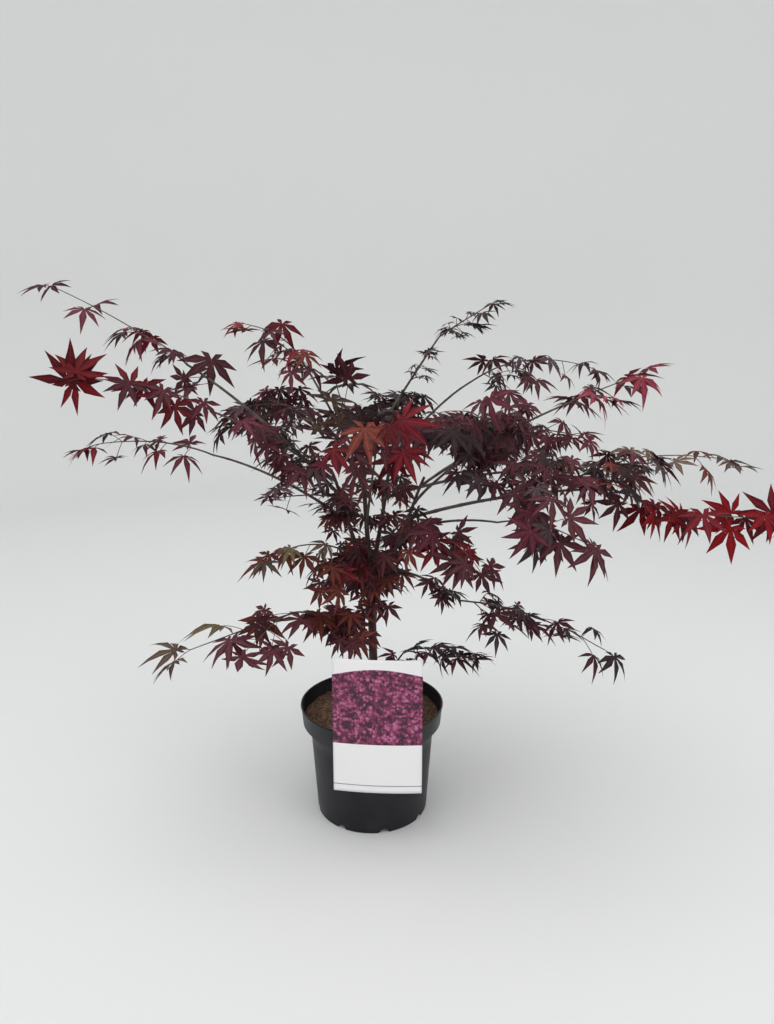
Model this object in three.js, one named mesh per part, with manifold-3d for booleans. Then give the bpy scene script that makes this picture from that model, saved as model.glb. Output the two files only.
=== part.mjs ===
// A young Japanese maple in its nursery pot: a short trunk that forks low, long arching boughs
// and the thin sprays of foliage that they carry, with the grower's card hooked on the rim.
// Millimetres, +Z up. The origin is the centre of the pot's flat underside, +X is to the right
// of someone who faces the card, and +Y points away from them.
import * as THREE from "three";
import { mergeVertices } from "three/addons/utils/BufferGeometryUtils.js";
import Module from "manifold-3d";

const wasm = await Module();
wasm.setup();

// ---- driving dimensions ----

const clearance = 0.3; // running gap between pieces that touch
const socketClearance = 0.35; // gap round a limb inside the foliage

const pot = {
  height: 150,
  rimRadius: 95, // 19 cm across, the three-litre size
  lipHeight: 3,
  collarTopRadius: 94,
  collarLowRadius: 92,
  collarLow: 125,
  shoulderRadius: 81.7,
  shoulder: 112,
  footRadius: 74,
  footChamfer: 1.2,
  wall: 1.6,
  floor: 2.5,
  segments: 36,
};

const drains = { count: 8, radius: 6, turn: 13 }; // half-round slots in the foot edge, turn in degrees

const soil = { top: 135, edgeDrop: 4, edgeBand: 12 };

const card = {
  width: 110,
  height: 176,
  bottom: 73.5,
  thick: 0.8,
  bowRadius: 420,
  centreX: 8.2,
  frontY: -97.6,
  turn: 4, // degrees, its right side turned forward
};

const hook = { width: 20, thick: 1.2, underside: 150.3, innerFace: -88, leg: 12 };

const trunk = {
  foot: { azimuth: 0, reach: 3, height: soil.top + clearance },
  tip: { azimuth: 158, reach: 14, height: 501 },
  bow: 3, // sideways bow of the stem to +X at its middle
  footRadius: 9,
  stemRadius: 5.7,
  forkRadius: 5,
  aboveForkRadius: 3.9,
  tipRadius: 1.9,
  flareHeight: 0.09, // shares of its length
  fork: 0.44,
  forkLength: 0.04,
};

// A limb leaves its parent at a share of the parent's length. Its tip is given by an azimuth in
// degrees from +X, a reach from the pot's axis and a height. The arch lifts its middle.
// name, parent, share, azimuth, reach, height, arch, foot radius, tip radius
const limbRows = [
  ["leader_left", "trunk", 0.43, 197, 51, 466, 8, 3.6, 1.8],
  ["leader_right", "trunk", 0.41, 0, 67, 454, -5, 3.4, 1.7],
  ["leader_back", "trunk", 0.46, 67, 76, 495, 0, 3.4, 1.8],
  ["bough_left_long", "leader_left", 0.8, 175, 229, 592, 14, 2.6, 1.4],
  ["bough_left_mid", "leader_left", 0.92, 192, 190, 539, 9, 2.0, 1.2],
  ["bough_left_low", "leader_left", 0.6, 177, 199, 480, 15, 2.1, 1.2],
  ["bough_left_high", "trunk", 0.9, 184, 81, 594, 4, 1.9, 1.1],
  ["bough_right_shoot", "trunk", 0.94, 13, 87, 626, 2, 1.9, 1.1],
  ["bough_right_high", "leader_back", 0.85, 25, 141, 568, 12, 2.1, 1.2],
  ["bough_right_rise", "leader_right", 0.93, 355, 229, 543, 8, 2.1, 1.2],
  ["bough_right_core", "leader_right", 0.8, 337, 128, 489, 6, 2.0, 1.3],
  ["bough_right_far", "leader_back", 0.6, 11, 272, 454, 16, 2.3, 1.2],
  ["bough_right_long", "leader_right", 0.68, 348, 292, 450, 13, 2.5, 1.3],
  ["bough_right_hang", "leader_right", 0.58, 323, 181, 421, 10, 1.9, 1.1],
  ["bough_mid_hang", "leader_right", 0.45, 306, 106, 411, 4, 1.7, 1.1],
  ["bough_low_right", "leader_right", 0.28, 325, 130, 317, 12, 1.9, 1.1],
  ["bough_low_arch", "trunk", 0.09, 317, 59, 238, -2, 1.6, 1.0],
  ["bough_low_left", "trunk", 0.33, 209, 102, 293, 4, 1.9, 1.1],
  ["bough_mid_left", "leader_left", 0.3, 224, 58, 373, 3, 1.6, 1.1],
  ["bough_core_front", "trunk", 0.7, 275, 80, 492, 4, 1.8, 1.1],
  ["bough_back_left", "leader_back", 0.68, 138, 120, 528, 8, 2.0, 1.2],
  ["bough_back_right", "leader_back", 0.75, 46, 150, 496, 8, 1.9, 1.1],
  ["bough_back_low", "trunk", 0.3, 98, 96, 290, 6, 1.8, 1.1],
];

// A spray of foliage starts on its bearer, 1 being the bearer's tip, and its far end is again an
// azimuth, a reach and a height. The sag lowers its middle, or lifts it when negative.
// name, bearer, share, azimuth, reach, height, width, depth, sag, tint
const sprayRows = [
  ["foliage_left_upper", "bough_left_long", 1, 174, 316, 642, 86, 30, -6, "wine"],
  ["foliage_left_tip", "foliage_left_upper", 1, 174, 428, 698, 62, 22, -4, "wine"],
  ["foliage_left_inner", "bough_left_mid", 1, 192, 296, 575, 92, 36, -8, "maroon"],
  ["foliage_left_fan", "foliage_left_inner", 1, 194, 382, 578, 48, 84, -4, "scarlet"],
  ["foliage_left_low", "bough_left_low", 1, 182, 364, 492, 92, 26, -14, "maroon"],
  ["foliage_left_high", "bough_left_high", 1, 198, 170, 642, 80, 28, -20, "wine"],
  ["foliage_crown_top", "trunk", 1, 240, 88, 606, 92, 38, 4, "bronze"],
  ["foliage_core_left", "leader_left", 1, 216, 174, 538, 108, 48, -10, "maroon"],
  ["foliage_core_low", "leader_left", 0.85, 228, 178, 450, 100, 32, -6, "maroon"],
  ["foliage_core_front", "bough_core_front", 1, 280, 196, 545, 108, 40, -10, "russet"],
  ["foliage_right_shoot", "bough_right_shoot", 1, 14, 170, 674, 66, 22, -4, "dusk"],
  ["foliage_right_high", "bough_right_high", 1, 16, 322, 580, 92, 34, -26, "dusk"],
  ["foliage_right_wine", "bough_right_core", 0.6, 313, 206, 572, 92, 40, -10, "wine"],
  ["foliage_right_rise", "bough_right_rise", 1, 353, 350, 594, 76, 28, -2, "crimson"],
  ["foliage_right_core_front", "bough_right_core", 1, 345, 270, 508, 112, 44, -12, "maroon"],
  ["foliage_right_core_low", "bough_right_core", 0.8, 318, 262, 466, 110, 40, -12, "maroon"],
  ["foliage_right_mid", "bough_right_long", 0.75, 338, 345, 490, 90, 30, -14, "russet"],
  ["foliage_right_far", "bough_right_far", 1, 10, 520, 458, 92, 26, -14, "bronze"],
  ["foliage_scarlet_inner", "bough_right_long", 1, 346, 386, 416, 70, 60, -4, "crimson"],
  ["foliage_scarlet_outer", "foliage_scarlet_inner", 1, 352, 517, 422, 62, 70, -6, "scarlet"],
  ["foliage_right_hang", "bough_right_hang", 1, 324, 305, 402, 104, 36, -14, "wine"],
  ["foliage_mid_hang", "bough_mid_hang", 1, 306, 212, 378, 88, 36, -14, "wine"],
  ["foliage_low_right", "bough_low_right", 1, 340, 318, 252, 96, 28, -12, "dusk"],
  ["foliage_low_arch", "bough_low_arch", 1, 324, 168, 250, 60, 26, -12, "dusk"],
  ["foliage_low_left", "bough_low_left", 1, 222, 196, 262, 100, 36, -16, "wine"],
  ["foliage_low_left_tip", "bough_low_left", 1, 204, 272, 252, 82, 28, -16, "maroon"],
  ["foliage_mid_left", "bough_mid_left", 1, 210, 156, 360, 80, 30, -14, "olive"],
  ["foliage_trunk_left", "trunk", 0.55, 239, 104, 326, 60, 92, -4, "russet"],
  ["foliage_trunk_low", "trunk", 0.41, 254, 68, 246, 92, 54, -4, "russet"],
  ["foliage_back_left", "bough_back_left", 1, 142, 268, 520, 120, 36, -14, "maroon"],
  ["foliage_back_middle", "leader_back", 1, 88, 236, 548, 124, 40, -12, "dusk"],
  ["foliage_back_right", "bough_back_right", 1, 44, 294, 476, 114, 36, -14, "maroon"],
  ["foliage_back_low", "bough_back_low", 1, 96, 222, 264, 104, 34, -16, "wine"],
];

const limbMesh = { sides: 5, steps: 7 };
const trunkMesh = { sides: 8, steps: 12 };
const sprayMesh = { around: 10, along: 6 };
const tuck = 12; // how far a spray reaches back over the end of its bearer
const lumps = { size: 0.13, scallop: 0.18, phaseStep: 2.4 }; // waves on a spray's skin and outline

const tints = {
  dusk: 0x2a171c,
  maroon: 0x401a22,
  wine: 0x561a28,
  russet: 0x6b2620,
  crimson: 0x8c1826,
  scarlet: 0xa51a18,
  bronze: 0x5c4428,
  olive: 0x6c6134,
};

// ---- working tools ----

const up = new THREE.Vector3(0, 0, 1);
const part = new THREE.Group();
const solids = new Map(); // every solid that later pieces keep clear of
const curves = new Map(); // the centre line of each limb and spray

const place = ({ azimuth, reach, height }) => {
  const angle = THREE.MathUtils.degToRad(azimuth);
  return new THREE.Vector3(reach * Math.cos(angle), reach * Math.sin(angle), height);
};

// The closed surface of a geometry as a solid.
function solidOf(geometry) {
  const bare = geometry.clone();
  bare.deleteAttribute("normal");
  bare.deleteAttribute("uv");
  const merged = mergeVertices(bare, 1e-4);
  return new wasm.Manifold(
    new wasm.Mesh({
      numProp: 3,
      vertProperties: new Float32Array(merged.attributes.position.array),
      triVerts: new Uint32Array(merged.index.array),
    }),
  );
}

function geometryOf(solid) {
  const mesh = solid.getMesh();
  const geometry = new THREE.BufferGeometry();
  geometry.setAttribute("position", new THREE.BufferAttribute(mesh.vertProperties, 3));
  geometry.setIndex(new THREE.BufferAttribute(mesh.triVerts, 1));
  geometry.computeVertexNormals();
  return geometry;
}

function addPiece(name, solid, finish) {
  const material = new THREE.MeshStandardMaterial({ metalness: 0, ...finish });
  const mesh = new THREE.Mesh(geometryOf(solid), material);
  mesh.name = name;
  part.add(mesh);
}

const largestBody = (solid) => solid.decompose().sort((a, b) => b.volume() - a.volume())[0];

function boxesMeet(a, b) {
  const boxA = a.boundingBox();
  const boxB = b.boundingBox();
  return [0, 1, 2].every((axis) => boxA.min[axis] < boxB.max[axis] && boxB.min[axis] < boxA.max[axis]);
}

// Cuts a solid round every grown solid so far and keeps its main body.
function cutRound(solid) {
  let rest = solid;
  for (const grown of solids.values()) {
    if (boxesMeet(rest, grown)) rest = rest.subtract(grown);
  }
  return largestBody(rest);
}

// ---- pot, soil and card ----

const shift = (points, dr, dz) => points.map(([r, z]) => [r + dr, z + dz]);

function turned(profile, segments) {
  const points = profile.map(([r, z]) => new THREE.Vector2(r, z));
  return new THREE.LatheGeometry(points, segments).rotateX(Math.PI / 2);
}

const lipBottom = pot.height - pot.lipHeight;
const sideProfile = [
  [pot.shoulderRadius, pot.shoulder],
  [pot.collarLowRadius, pot.collarLow],
  [pot.collarTopRadius, lipBottom],
];
const sideRadius = (z) => {
  const share = z / pot.shoulder;
  return THREE.MathUtils.lerp(pot.footRadius, pot.shoulderRadius, share);
};

function makePot() {
  const outer = [
    [0, 0],
    [pot.footRadius - pot.footChamfer, 0],
    [pot.footRadius, pot.footChamfer],
    ...sideProfile,
    [pot.rimRadius, lipBottom],
    [pot.rimRadius, pot.height],
  ];
  const inner = [
    [pot.collarTopRadius - pot.wall, pot.height],
    ...shift([...sideProfile].reverse(), -pot.wall, 0),
    [sideRadius(pot.floor) - pot.wall, pot.floor],
    [0, pot.floor],
  ];
  let shell = solidOf(turned([...outer, ...inner], pot.segments));
  const slotLength = 5 * pot.wall;
  for (let index = 0; index < drains.count; index += 1) {
    const angle = THREE.MathUtils.degToRad(drains.turn) + (index * 2 * Math.PI) / drains.count;
    const slot = new THREE.CylinderGeometry(drains.radius, drains.radius, slotLength, 8)
      .rotateZ(Math.PI / 2)
      .translate(pot.footRadius - pot.wall, 0, 0)
      .rotateZ(angle);
    shell = shell.subtract(solidOf(slot));
  }
  addPiece("pot", shell, { color: 0x1b1d24, roughness: 0.45 });
}

function makeSoil() {
  const gap = pot.wall + clearance;
  const topRadius = pot.collarLowRadius - gap;
  const bottom = pot.floor + clearance;
  const profile = [
    [0, bottom],
    [sideRadius(bottom) - gap, bottom],
    [pot.shoulderRadius - gap, pot.shoulder],
    [topRadius, pot.collarLow],
    [topRadius, soil.top - soil.edgeDrop],
    [topRadius - soil.edgeBand, soil.top],
    [0, soil.top],
  ];
  addPiece("soil", solidOf(turned(profile, pot.segments)), { color: 0x4a3526, roughness: 1 });
}

// The card is a gently bowed sheet whose hook goes over the rim and down inside it.
function makeCard() {
  const halfAngle = card.width / 2 / card.bowRadius;
  const middle = -Math.PI / 2;
  const sheet = new THREE.Shape();
  const [left, right] = [middle - halfAngle, middle + halfAngle];
  sheet.absarc(0, card.bowRadius, card.bowRadius, left, right, false);
  sheet.absarc(0, card.bowRadius, card.bowRadius - card.thick, right, left, true);
  const cut = { depth: card.height, curveSegments: 8, bevelEnabled: false };
  const face = new THREE.ExtrudeGeometry(sheet, cut);
  face.translate(card.centreX, card.frontY, card.bottom);

  const start = card.frontY + card.thick / 2;
  const top = hook.underside + hook.thick;
  const back = hook.innerFace + hook.thick;
  const outline = [
    [start, hook.underside],
    [hook.innerFace, hook.underside],
    [hook.innerFace, hook.underside - hook.leg],
    [back, hook.underside - hook.leg],
    [back, top],
    [start, top],
  ];
  const side = new THREE.Shape(outline.map(([y, z]) => new THREE.Vector2(y, z)));
  const tongue = new THREE.ExtrudeGeometry(side, { depth: hook.width, bevelEnabled: false });
  tongue.applyMatrix4(
    new THREE.Matrix4().makeBasis(new THREE.Vector3(0, 1, 0), up, new THREE.Vector3(1, 0, 0)),
  );
  tongue.translate(card.centreX - hook.width / 2, 0, 0);

  const label = geometryOf(solidOf(face).add(solidOf(tongue)));
  label.translate(-card.centreX, -card.frontY, 0);
  label.rotateZ(THREE.MathUtils.degToRad(-card.turn));
  label.translate(card.centreX, card.frontY, 0);
  addPiece("label", solidOf(label), { color: 0xe8e4e6, roughness: 0.35 });
}

// ---- trunk and limbs ----

// A unit cylinder carried along a curve, its radius at each share of the length given by a rule.
function limbSolid(curve, radiusAt, { sides, steps }, grow = 0) {
  const frames = curve.computeFrenetFrames(steps, false);
  const geometry = new THREE.CylinderGeometry(1, 1, 1, sides, steps);
  const position = geometry.attributes.position;
  const vertex = new THREE.Vector3();
  for (let index = 0; index < position.count; index += 1) {
    vertex.fromBufferAttribute(position, index);
    const share = vertex.y + 0.5;
    const step = Math.round(share * steps);
    const radius = radiusAt(share) + grow;
    const { x, z } = vertex;
    vertex
      .copy(curve.getPointAt(share))
      .addScaledVector(frames.normals[step], x * radius)
      .addScaledVector(frames.binormals[step], -z * radius);
    position.setXYZ(index, vertex.x, vertex.y, vertex.z);
  }
  return solidOf(geometry);
}

// Full at the root flare, even up the stem, and narrower by a step where the leaders part from it.
function trunkRadius(share) {
  const { flareHeight, fork, forkLength, stemRadius, forkRadius, aboveForkRadius, tipRadius } = trunk;
  const forkEnd = fork + forkLength;
  if (share < flareHeight) {
    const down = 1 - share / flareHeight;
    return stemRadius + (trunk.footRadius - stemRadius) * down * down;
  }
  if (share < fork) {
    return THREE.MathUtils.mapLinear(share, flareHeight, fork, stemRadius, forkRadius);
  }
  if (share < forkEnd) {
    return THREE.MathUtils.mapLinear(share, fork, forkEnd, forkRadius, aboveForkRadius);
  }
  return THREE.MathUtils.mapLinear(share, forkEnd, 1, aboveForkRadius, tipRadius);
}

function makeTrunk() {
  const foot = place(trunk.foot);
  const tip = place(trunk.tip);
  const low = foot.clone().lerp(tip, 1 / 3).setX(foot.x);
  const high = foot.clone().lerp(tip, 2 / 3);
  high.x += trunk.bow;
  const curve = new THREE.CubicBezierCurve3(foot, low, high, tip);
  curves.set("trunk", curve);
  solids.set("trunk", limbSolid(curve, trunkRadius, trunkMesh, clearance));
  const stem = limbSolid(curve, trunkRadius, trunkMesh);
  addPiece("trunk", stem, { color: 0x4b302b, roughness: 0.8 });
}

function makeLimb([name, parent, share, azimuth, reach, height, arch, footRadius, tipRadius]) {
  const start = curves.get(parent).getPointAt(share);
  const tip = place({ azimuth, reach, height });
  const low = start.clone().lerp(tip, 1 / 3).addScaledVector(up, arch);
  const high = start.clone().lerp(tip, 2 / 3).addScaledVector(up, arch);
  const curve = new THREE.CubicBezierCurve3(start, low, high, tip);
  const radiusAt = (along) => THREE.MathUtils.lerp(footRadius, tipRadius, along);
  const limb = cutRound(limbSolid(curve, radiusAt, limbMesh));
  curves.set(name, curve);
  solids.set(name, limbSolid(curve, radiusAt, limbMesh, clearance));
  addPiece(name, limb, { color: 0x46362d, roughness: 0.75 });
}

// ---- foliage ----

// A unit sphere drawn out along a curve: its poles are the spray's two ends, its outline is
// scalloped by waves along the sides, and its skin swells and dips by waves round and along it.
function spraySolid(curve, width, depth, phase, grow = 0) {
  const geometry = new THREE.SphereGeometry(1, sprayMesh.around, sprayMesh.along);
  const position = geometry.attributes.position;
  const vertex = new THREE.Vector3();
  for (let index = 0; index < position.count; index += 1) {
    vertex.fromBufferAttribute(position, index);
    const { x, y, z } = vertex;
    const share = THREE.MathUtils.clamp((1 - y) / 2, 0, 1);
    const tangent = curve.getTangentAt(share);
    const side = tangent.clone().cross(up).normalize();
    const above = side.clone().cross(tangent);
    const turn = Math.atan2(z, x);
    const lump = 1 + lumps.size * Math.sin(2 * turn + 5 * y + phase) * Math.cos(3 * y - phase);
    const scallop = 1 + lumps.scallop * Math.sin(9 * y + 1.7 * phase) * x;
    const halfWidth = (width / 2) * lump * scallop + grow;
    const halfDepth = (depth / 2) * lump + grow;
    vertex
      .copy(curve.getPointAt(share))
      .addScaledVector(side, -x * halfWidth)
      .addScaledVector(above, z * halfDepth)
      .addScaledVector(tangent, -y * grow);
    position.setXYZ(index, vertex.x, vertex.y, vertex.z);
  }
  return solidOf(geometry);
}

function makeSpray([name, bearer, share, azimuth, reach, height, width, depth, sag, tint], index) {
  const limb = curves.get(bearer);
  const back = limb.getTangentAt(share).multiplyScalar(-tuck);
  const start = limb.getPointAt(share).add(back);
  const end = place({ azimuth, reach, height });
  const middle = start.clone().lerp(end, 0.5).addScaledVector(up, -2 * sag);
  const curve = new THREE.QuadraticBezierCurve3(start, middle, end);
  const phase = index * lumps.phaseStep;
  const spray = cutRound(spraySolid(curve, width, depth, phase));
  curves.set(name, curve);
  solids.set(name, spraySolid(curve, width, depth, phase, socketClearance));
  addPiece(name, spray, { color: tints[tint], roughness: 0.85 });
}

makePot();
makeSoil();
makeCard();
makeTrunk();
limbRows.forEach(makeLimb);
sprayRows.forEach(makeSpray);

export default part;
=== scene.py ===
# A young Japanese maple in its three-litre nursery pot, grown on the limbs of its CAD frame.
# Metres, +Z up. The front, where the card hangs, faces -Y.
import math
from functools import partial
import bpy
import numpy as np
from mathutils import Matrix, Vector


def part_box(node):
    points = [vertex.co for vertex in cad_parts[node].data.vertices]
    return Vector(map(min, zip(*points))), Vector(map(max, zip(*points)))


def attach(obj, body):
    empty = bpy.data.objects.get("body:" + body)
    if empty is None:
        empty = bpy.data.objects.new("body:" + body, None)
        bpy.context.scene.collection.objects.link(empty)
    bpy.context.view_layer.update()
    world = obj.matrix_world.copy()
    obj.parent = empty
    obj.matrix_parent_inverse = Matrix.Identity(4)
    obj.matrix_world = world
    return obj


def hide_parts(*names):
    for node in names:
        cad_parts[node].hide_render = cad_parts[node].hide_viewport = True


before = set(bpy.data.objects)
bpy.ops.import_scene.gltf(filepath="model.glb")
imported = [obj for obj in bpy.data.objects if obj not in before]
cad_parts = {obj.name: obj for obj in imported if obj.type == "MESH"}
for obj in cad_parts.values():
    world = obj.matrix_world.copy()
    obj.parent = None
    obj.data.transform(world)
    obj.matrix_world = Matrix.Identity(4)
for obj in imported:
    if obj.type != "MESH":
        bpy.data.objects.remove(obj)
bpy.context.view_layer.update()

mm = 0.001
upward = np.array([0.0, 0.0, 1.0])
frontward = np.array([0.0, -1.0, 0.0])

cameraLook = {
    "place": (0.0202, -0.9561, 0.6213),
    "lookDown": 12.53,  # degrees below level
    "lens": 27.14,     # mm, on a 36 mm sensor
}


def makeCamera():
    data = bpy.data.cameras.new("camera")
    data.lens = cameraLook["lens"]
    data.clip_start, data.clip_end = 0.01, 50
    camera = bpy.data.objects.new("camera", data)
    camera.location = cameraLook["place"]
    camera.rotation_euler = (math.radians(90 - cameraLook["lookDown"]), 0, 0)
    bpy.context.collection.objects.link(camera)
    bpy.context.scene.camera = camera


makeCamera()
print("camera: set")

studioLook = {
    "sky": "f4f7fa", "skyPower": 0.8,
    "softboxes": [  # place, what it points at, width, watts
        ((-0.25, -0.5, 2.8), (0, 0, 0.3), 3.0, 31),
        ((-1.5, -1.9, 1.5), (0, 0, 0.4), 1.5, 7),
        ((1.7, -1.5, 1.3), (0, 0, 0.4), 1.2, 8),
    ],
    "floor": "e5e5e3", "floorShade": "e0e0df", "floorRadius": 2.3, "cove": 0.8, "wallHeight": 2.6,
    "sides": 96, "rings": (0.6, 1.5),  # radii that divide the level floor
}


def linearFromHex(text):
    # sRGB bytes to linear light: a straight foot below 0.04045, then a power of 2.4
    value = np.array([int(text[i:i + 2], 16) for i in (0, 2, 4)]) / 255
    linear = np.where(value <= 0.04045, value / 12.92, ((value + 0.055) / 1.055) ** 2.4)
    return (*linear.tolist(), 1.0)


def plug(node, inputs):
    # fills sockets: a node gives its first live output, a socket is linked, a plain value is set
    for name, value in inputs.items():
        if isinstance(value, bpy.types.Node):
            value = next(socket for socket in value.outputs if socket.enabled)
        if isinstance(value, bpy.types.NodeSocket):
            node.id_data.links.new(value, node.inputs[name])
        else:
            node.inputs[name].default_value = value


def addNode(tree, kind, inputs=(), stops=(), **settings):
    # kind may end in an operation; inputs go by name, or in order in a list; stops are a ramp's
    # places and hex colours, the two ends first
    kind, _, operation = kind.partition(" ")
    node = tree.nodes.new("ShaderNode" + kind)
    if operation:
        node.operation = operation
    for name, value in settings.items():
        setattr(node, name, value)
    plug(node, dict(enumerate(inputs) if isinstance(inputs, list) else inputs))
    for index, (place, colour) in enumerate(stops):
        elements = node.color_ramp.elements
        stop = elements[index] if index < 2 else elements.new(place)
        stop.position, stop.color = place, linearFromHex(colour)
    return node


def newMaterial(name, **shader):
    # a Principled material, what adds nodes to it, and its shader with plain values set
    material = bpy.data.materials.new(name)
    material.use_nodes = True
    surface = material.node_tree.nodes["Principled BSDF"]
    plug(surface, shader)
    return material, partial(addNode, material.node_tree), surface


def mottledMaterial(name, noise, stops, relief=None, **shader):
    # a noise on object coordinates runs through a ramp into the colour; relief is a finer noise, or
    # nothing for the same one again, with its strength and depth
    material, add, surface = newMaterial(name, **shader)
    place = add("TexCoord").outputs["Object"]
    cloud = add("TexNoise", {"Vector": place, **noise})
    plug(surface, {"Base Color": add("ValToRGB", [cloud], stops)})
    if relief:
        finer, strength, depth = relief
        grain = add("TexNoise", {"Vector": place, **finer}) if finer else cloud
        plug(surface, {"Normal": add("Bump", {"Height": grain, "Strength": strength, "Distance": depth})})
    return material, add, surface, cloud


def normalised(vectors):
    return vectors / np.maximum(np.linalg.norm(vectors, axis=-1, keepdims=True), 1e-12)


def addMesh(name, shape, material, corners=None, smooth=True):
    # shape: vertices (n, 3) and one or more index arrays of faces; corners: a UV for each face corner
    vertices, *faces = shape
    mesh = bpy.data.meshes.new(name)
    mesh.from_pydata(vertices, [], [face for group in faces for face in group.tolist()])
    mesh.polygons.foreach_set("use_smooth", np.full(len(mesh.polygons), smooth))
    if corners is not None:
        mesh.uv_layers.new(name="OFBake").uv.foreach_set("vector", corners.astype(np.float32).ravel())
    mesh.materials.append(material)
    mesh.validate()
    piece = bpy.data.objects.new(name, mesh)
    bpy.context.collection.objects.link(piece)
    return piece


def addPiece(name, shape, material, slot, nodes=(), **more):
    # a mesh of the part: its body and the CAD nodes it stands for, which it hides; slot is not used
    piece = addMesh(name, shape, material, **more)
    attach(piece, "root")
    if nodes:
        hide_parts(*nodes)


def ringAngles(sides):
    return np.arange(sides) * 2 * np.pi / sides


def turnedGrid(radii, heights, sides):
    # a profile turned about Z, closed at both ends; radii and heights are (rows, sides) or (rows, 1)
    angle = ringAngles(sides)
    x, y = radii * np.cos(angle), radii * np.sin(angle)
    return closedRows(np.stack([x, y, heights + 0 * x], -1))


def closedRows(rows):
    # joins rows of points, each a closed ring, and fans both ends shut on their middles
    steps, sides = rows.shape[:2]
    vertices = np.concatenate([rows.reshape(-1, 3), rows[[0, -1]].mean(1)])
    here = np.arange(steps - 1)[:, None] * sides + np.arange(sides)
    beside = np.arange(steps - 1)[:, None] * sides + (np.arange(sides) + 1) % sides
    quads = np.stack([here, beside, beside + sides, here + sides], -1).reshape(-1, 4)
    first, last = here[0], here[-1] + sides
    low = np.stack([np.roll(first, -1), first, np.full(sides, steps * sides)], -1)
    high = np.stack([last, np.roll(last, -1), np.full(sides, steps * sides + 1)], -1)
    return vertices, quads, np.concatenate([low, high])


def makeStudio():
    look = studioLook
    world = bpy.data.worlds.new("studio")
    bpy.context.scene.world = world
    world.use_nodes = True
    sky = world.node_tree.nodes["Background"]
    plug(sky, {"Color": linearFromHex(look["sky"]), "Strength": look["skyPower"]})
    for index, (place, target, width, watts) in enumerate(look["softboxes"]):
        data = bpy.data.lights.new(f"softbox_{index}", "AREA")
        data.shape, data.size, data.energy = "DISK", width, watts
        lamp = bpy.data.objects.new(data.name, data)
        lamp.location = place
        lamp.rotation_euler = (lamp.location - Vector(target)).to_track_quat("Z", "Y").to_euler()
        bpy.context.collection.objects.link(lamp)
    # a wide bowl: a level floor that turns up through a quarter circle into a round wall
    turn = np.linspace(0, np.pi / 2, 16)
    reach = look["floorRadius"] + look["cove"] * np.sin(turn)
    radii = np.concatenate([look["rings"], reach, [reach[-1]]])
    heights = np.concatenate([[0, 0], look["cove"] * (1 - np.cos(turn)), [look["wallHeight"]]])
    vertices, quads, fans = turnedGrid(radii[:, None], heights[:, None], look["sides"])
    paper, add, surface = newMaterial("painted_studio_floor", Roughness=0.9)
    grain = add("TexNoise", {"Scale": 3.0, "Detail": 2.0})
    plug(surface, {"Base Color": add("ValToRGB", [grain], [(0, look["floorShade"]), (1, look["floor"])])})
    addMesh("floor", (vertices, quads[:, ::-1], fans[:look["sides"], ::-1]), paper)
    bpy.context.scene.view_settings.view_transform = "Standard"


makeStudio()
print("studio: floor, wall and", len(studioLook["softboxes"]), "softboxes")


def nodeCorners(name):
    # the distinct corners of a CAD node's loose triangles
    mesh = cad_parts[name].data
    places = np.empty(len(mesh.vertices) * 3, np.float32)
    mesh.vertices.foreach_get("co", places)
    return np.unique(places.reshape(-1, 3).round(5), axis=0).astype(float)


def evenPath(points, count):
    # the same line with its points at even distances along it
    far = np.concatenate([[0], np.cumsum(np.linalg.norm(np.diff(points, axis=0), axis=1))])
    return np.stack([np.interp(np.linspace(0, far[-1], count), far, axis) for axis in points.T], -1)


def pathLength(points):
    return np.linalg.norm(np.diff(points, axis=0), axis=1).sum()


def alongPath(points, share):
    # place and unit direction at a share of an evenly divided path
    place = share * (len(points) - 1)
    low = min(int(place), len(points) - 2)
    step = points[low + 1] - points[low]
    return points[low] + step * (place - low), normalised(step)


limbFit = {"samples": 60, "radiusBins": 14, "degree": 4, "blur": 0.05, "caps": 0.3}


def limbLine(name):
    # centre line = a polynomial in the share of the chord, fitted to the node's corners;
    # radius = the mean distance of the corners near by, thickest end first
    corners = nodeCorners(name)
    middle = corners.mean(0)
    chord = np.linalg.svd(corners - middle, full_matrices=False)[2][0]
    share = (corners - middle) @ chord
    share = (share - share.min()) / np.ptp(share)
    fits = [np.polyfit(share, axis, limbFit["degree"]) for axis in corners.T]
    axisPoint = np.stack([np.polyval(fit, share) for fit in fits], -1)
    away = np.linalg.norm(corners - axisPoint, axis=1)
    rim = away > limbFit["caps"] * away.max()  # leaves out the middles of the end caps
    bins = np.linspace(0, 1, limbFit["radiusBins"])
    near = np.exp(-(((bins[:, None] - share[None, rim]) / limbFit["blur"]) ** 2))
    radius = (near * away[rim]).sum(1) / near.sum(1)
    steps = np.linspace(0, 1, limbFit["samples"])
    line = np.stack([np.polyval(fit, steps) for fit in fits], -1)
    radii = np.interp(steps, bins, radius)
    if radii[:10].mean() < radii[-10:].mean():
        line, radii = line[::-1], radii[::-1]
    return evenPath(line, limbFit["samples"]), radii


limbNames = ["trunk"] + [n for kind in ("leader_", "bough_") for n in sorted(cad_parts)
                         if n.startswith(kind)]
sprayNames = sorted(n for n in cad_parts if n.startswith("foliage_"))
limbs = {name: limbLine(name) for name in limbNames}

# each limb is carried on to the axis of the older limb it grows from
for order, name in enumerate(limbNames[1:], 1):
    line, radii = limbs[name]
    older = np.concatenate([limbs[n][0] for n in limbNames[:order] if not n.startswith("bough_")])
    root = older[np.linalg.norm(older - line[0], axis=1).argmin()]
    limbs[name] = evenPath(np.concatenate([root[None], line]), limbFit["samples"]), radii
print("frame:", len(limbs), "limbs read,", len(sprayNames), "masses of foliage")


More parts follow.
